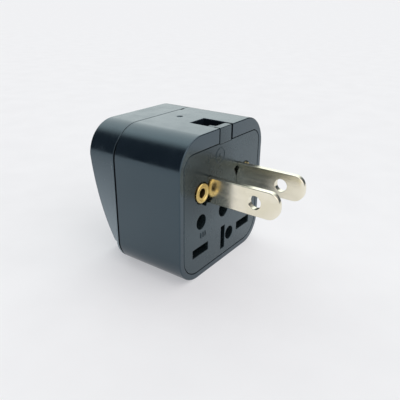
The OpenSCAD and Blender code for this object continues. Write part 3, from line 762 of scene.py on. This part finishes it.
def cover_rings(steps=8, soft_steps=4):
    """The cover's outside from the seam to the socket face: neck, flange, step, nose and rounded edge."""
    flat, nose, neck = flange_outline(0), nose_outline(0), flange_outline(0.5)
    rings = [[place(x, HOUSING_D + 0.02, z) for x, z in neck],
             [place(x, seam_front(z), z) for x, z in neck]]
    lip = 0.1
    for share in (0, 0.4, 1):
        outline = flange_outline(lip * (1 - share) ** 1.6)
        rings.append([place(x, seam_front(z) + lip * share, z) for x, z in outline])
    soft, fillet = 0.3, 0.35
    turns = [math.pi / 2 * k / soft_steps for k in range(soft_steps + 1)]
    for turn in turns:
        outline = towards(flat, nose, soft, 1 - math.cos(turn))
        rings.append([place(x, NOSE_Y0 - soft * (1 - math.sin(turn)), z) for x, z in outline])
    for turn in turns:
        outline = towards(nose, flat, fillet, 1 - math.sin(turn))
        rings.append([place(x, NOSE_Y0 + fillet * (1 - math.cos(turn)), z) for x, z in outline])
    for k in range(steps + 1):
        turn = math.pi / 2 * k / steps
        outline = nose_outline(NOSE_EDGE_R * (1 - math.cos(turn)))
        rings.append([place(x, BODY_D - NOSE_EDGE_R * (1 - math.sin(turn)), z) for x, z in outline])
    return rings


def make_cover():
    """The rear shell: spigot, hollow neck and nose, socket openings, and bosses for the screws."""
    cover = loft("socket_cover_shell", cover_rings())
    weld(cover)
    spigot, bore = body_outline(WALL + PLAY), body_outline(WALL + SPIGOT_T)
    neck, inside = nose_outline(NECK_INSET), nose_outline(WALL)
    spigot_y = HOUSING_D - SPIGOT_D
    inner_end = BODY_D - FACE_T
    join(cover, along_y("spigot", [(spigot_y, spigot), (HOUSING_D + 0.1, spigot)]))
    cut(cover,
        along_y("cutter", [(spigot_y - 1, bore), (HOUSING_D, bore)]),
        along_y("cutter", [(HOUSING_D - 0.5, neck), (inner_end - 1, neck)]),
        along_y("cutter", [(NOSE_Y0 + 0.8, inside), (inner_end, inside)]),
        *socket_cutters())
    for side in (-1, 1):
        boss = cutter(lambda i: circle(side * SCREW_X, SCREW_Z, BOSS_R - i),
                      CARRIER_BACK_Y, inner_end + 0.1)
        hole = cutter(lambda i: circle(side * SCREW_X, SCREW_Z, BOSS_BORE_R - i, 32),
                      CARRIER_Y, CARRIER_Y + BOSS_BORE_D)
        join(cover, cut(boss, hole))
    finish_surface(cover)
    dress(cover, cover_black, "socket_cover")
    cover.data.materials.append(seam_painted_shade)
    # Faces in the groove get the painted shade.
    for polygon in cover.data.polygons:
        y, z = polygon.center.y / MM - FACE_Y, polygon.center.z / MM
        if HOUSING_D - 0.1 < y < seam_front(z) + 0.05:
            polygon.material_index = 1


# ---- Metal pieces ----

def blade_ring(y, half_w, half_t, side, soft=0.18):
    """A rounded rectangular section of a blade at one station along Y."""
    points = box_outline(0, 0, 2 * half_t, 2 * half_w, corner=min(soft, half_t * 0.6, half_w * 0.9))
    return [place(side * BLADE_X + x, y, BLADE_Z + z) for x, z in points]


def make_blade(side, node):
    """A stamped blade: rounded and bevelled tip, a punched hole, and a bent foot behind the plate."""
    tip_r, bevel, bevel_len = 2.8, 0.35, 1.3
    half_w, half_t = BLADE_W / 2, BLADE_T / 2
    rings = []
    for d in (0, 0.05, 0.15, 0.35, 0.65, 1.0, 1.3, 1.7, 2.2, tip_r):
        tip_half_w = half_w - tip_r + math.sqrt(max(tip_r ** 2 - (tip_r - d) ** 2, 0))
        tip_half_t = half_t - bevel * (1 - min(d / bevel_len, 1)) ** 1.6
        rings.append(blade_ring(-BLADE_LEN + d, tip_half_w, tip_half_t, side))
    rings.append(blade_ring(FOOT_Y + BLADE_T - 0.05, half_w, half_t, side))
    blade = loft(node + "_stamped", rings)
    end_x = side * (FOOT_END_X - half_w)
    x0, x1 = sorted((side * BLADE_X, end_x))
    foot_end = cutter(lambda i: circle(end_x, BLADE_Z, half_w - i), FOOT_Y, FOOT_Y + BLADE_T)
    foot = block("foot", (x0, FOOT_Y, BLADE_Z - half_w), (x1, FOOT_Y + BLADE_T, BLADE_Z + half_w))
    join(blade, foot, foot_end)
    rivet_hole = cutter(lambda i: circle(side * RIVET_X, BLADE_Z, RIVET_HOLE_R - i),
                        FOOT_Y - 1, FOOT_Y + BLADE_T + 1)
    hole = rod_x(side * BLADE_X - half_t, side * BLADE_X + half_t, -BLADE_HOLE_AT, BLADE_Z,
                 BLADE_HOLE_R, flare=0.05)
    cut(blade, hole, rivet_hole)
    finish_surface(blade)
    dress(blade, nickel, node)


def make_rivet(side, node):
    """A hollow rivet: rolled head in front, a step into the bore, and a tail spread behind the washer."""
    proud, head_r, roll_r = 0.45, 2.4, 0.42
    bore_r, shank_r = 0.92, 1.45
    terminal_t, washer_t = 0.8, 0.4
    tail_y = FOOT_Y + BLADE_T + terminal_t + washer_t
    seat_y = PLATE_Y + RIVET_SEAT_D - 0.02
    roll = [(head_r - roll_r + roll_r * math.cos(a), -proud + roll_r + roll_r * math.sin(a))
            for a in [math.radians(d) for d in range(60, -120, -15)]]
    dish = [(1.74, -0.32), (1.62, -0.2), (1.5, -0.17), (1.38, -0.2), (1.25, -0.2), (1.14, -0.12),
            (1.08, 0.05), (1.04, 0.3), (bore_r + 0.02, 0.7)]
    tail = [(bore_r, tail_y + 0.3), (bore_r + 0.15, tail_y + 0.5), (2.0, tail_y + 0.45),
            (2.1, tail_y + 0.2), (2.05, tail_y), (shank_r, tail_y)]
    under = [(shank_r, seat_y), (head_r - 0.3, seat_y), (head_r - 0.12, 0.35)]
    rivet = lathe(node + "_rolled", side * RIVET_X, BLADE_Z, roll + dish + tail + under)
    finish_surface(rivet, 50)
    dress(rivet, brass, node)
    rivet.data.materials.append(bore_brass)
    axis = place(side * RIVET_X, 0, BLADE_Z)
    dark_r = 1.13 * MM                       # the bore and the lower part of the dish, which get painted shade
    for polygon in rivet.data.polygons:
        out = polygon.center - axis
        if math.hypot(out.x, out.z) < dark_r:
            polygon.material_index = 1


def dress_kept():
    """Gives the CAD nodes that show through the openings their materials, by the start of their names."""
    looks = {"contact_carrier": inner_black, "rivet_washer": nickel, "terminal": brass, "leaf_clip": brass,
             "clip_rivet": brass, "contact_leaf": bronze, "clamp_screw": dark_steel}
    for name, obj in nodes.items():
        for start, material in looks.items():
            if name.startswith(start):
                for slot in obj.material_slots:
                    slot.material = material


make_housing()
make_plate()
make_latch()
make_cover()
for side, name in ((-1, "left"), (1, "right")):
    make_blade(side, "blade_" + name)
    make_rivet(side, "rivet_" + name)
dress_kept()


# ---- Studio ----

CAMERA_LENS = 41.3
CAMERA_AT = (-0.0882, -0.0599, 0.0621)       # metres
CAMERA_ANGLES = (-54.65, -23.58, 0.69)       # azimuth, elevation and roll, in degrees
FLOOR_TONES = ((0.49, 0.49, 0.495), (0.51, 0.51, 0.515))
FLOOR_GLOW = (0.378, 0.378, 0.39, 1)         # keeps the shadow as light as in a white tent
BACKDROP = (0.88, 0.88, 0.895, 1)            # what the camera sees beyond the floor
DIM_SKY = (0.04, 0.055, 0.07)
LOBES = (                                    # direction, radiance, and the angles of add_lobe
    ((0.52, 0.55, 0.64), (1.34, 1.43, 1.40), 24, 51),
    ((0.10, -0.52, 0.85), (1.45, 1.38, 1.36), 18, 54),
    ((-0.60, -0.75, 0.30), (0.9, 0.88, 0.88), 15, 52),
)


def make_camera():
    """The camera stands to the left of and above the plug face, turned slightly off level."""
    data = bpy.data.cameras.new("camera")
    data.sensor_width = 36
    data.lens = CAMERA_LENS
    data.clip_start = 0.005
    camera = bpy.data.objects.new("camera", data)
    bpy.context.scene.collection.objects.link(camera)
    azimuth, elevation, roll = [math.radians(angle) for angle in CAMERA_ANGLES]
    turn = (Matrix.Rotation(azimuth, 4, "Z") @ Matrix.Rotation(math.pi / 2 + elevation, 4, "X")
            @ Matrix.Rotation(roll, 4, "Z"))
    camera.matrix_world = Matrix.Translation(CAMERA_AT) @ turn
    bpy.context.scene.camera = camera


def make_floor(half_size=60):
    """A wide pale sheet of matt paper that glows slightly."""
    floor = mesh_object("floor", lambda bm: bmesh.ops.create_grid(bm, x_segments=8, y_segments=8,
                                                                  size=half_size))
    material, tree, shader = new_material("paper_floor")
    paper = noise(tree, 60, 4)
    tree.links.new(blend_colour(tree, ranged(tree, paper, 0, 1), *FLOOR_TONES), shader.inputs["Base Color"])
    shader.inputs["Roughness"].default_value = 1
    shader.inputs["Specular IOR Level"].default_value = 0
    shader.inputs["Emission Color"].default_value = FLOOR_GLOW
    shader.inputs["Emission Strength"].default_value = 1
    floor.data.materials.append(material)


def add_lobe(tree, total, towards_light, radiance, inner, outer):
    """Adds a soft round patch of light to the sky: full inside one angle, gone beyond the other."""
    coords = tree.nodes.new("ShaderNodeTexCoord")
    dot = tree.nodes.new("ShaderNodeVectorMath")
    dot.operation = "DOT_PRODUCT"
    dot.inputs[1].default_value = Vector(towards_light).normalized()
    tree.links.new(coords.outputs["Generated"], dot.inputs[0])
    fall = tree.nodes.new("ShaderNodeMapRange")
    fall.interpolation_type = "SMOOTHSTEP"
    fall.inputs["From Min"].default_value = math.cos(math.radians(outer))
    fall.inputs["From Max"].default_value = math.cos(math.radians(inner))
    tree.links.new(dot.outputs["Value"], fall.inputs["Value"])
    scale = tree.nodes.new("ShaderNodeVectorMath")
    scale.operation = "SCALE"
    scale.inputs[0].default_value = radiance
    tree.links.new(fall.outputs["Result"], scale.inputs["Scale"])
    add = tree.nodes.new("ShaderNodeVectorMath")
    add.operation = "ADD"
    tree.links.new(scale.outputs["Vector"], add.inputs[0])
    tree.links.new(total, add.inputs[1])
    return add.outputs["Vector"]


def make_world(base, lobes):
    """A dim studio with soft patches of light, behind a plain pale backdrop."""
    world = bpy.data.worlds.new("studio")
    bpy.context.scene.world = world
    world.use_nodes = True
    tree = world.node_tree
    start = tree.nodes.new("ShaderNodeCombineXYZ")
    for channel, value in zip("XYZ", base):
        start.inputs[channel].default_value = value
    total = start.outputs["Vector"]
    for lobe in lobes:
        total = add_lobe(tree, total, *lobe)
    seen = tree.nodes.new("ShaderNodeMix")
    seen.data_type = "RGBA"
    seen.inputs["B"].default_value = BACKDROP
    path = tree.nodes.new("ShaderNodeLightPath")
    tree.links.new(path.outputs["Is Camera Ray"], seen.inputs["Factor"])
    tree.links.new(total, seen.inputs["A"])
    tree.links.new(seen.outputs["Result"], tree.nodes["Background"].inputs["Color"])


make_camera()
make_floor()
make_world(DIM_SKY, LOBES)
bpy.context.scene.view_settings.view_transform = "Standard"
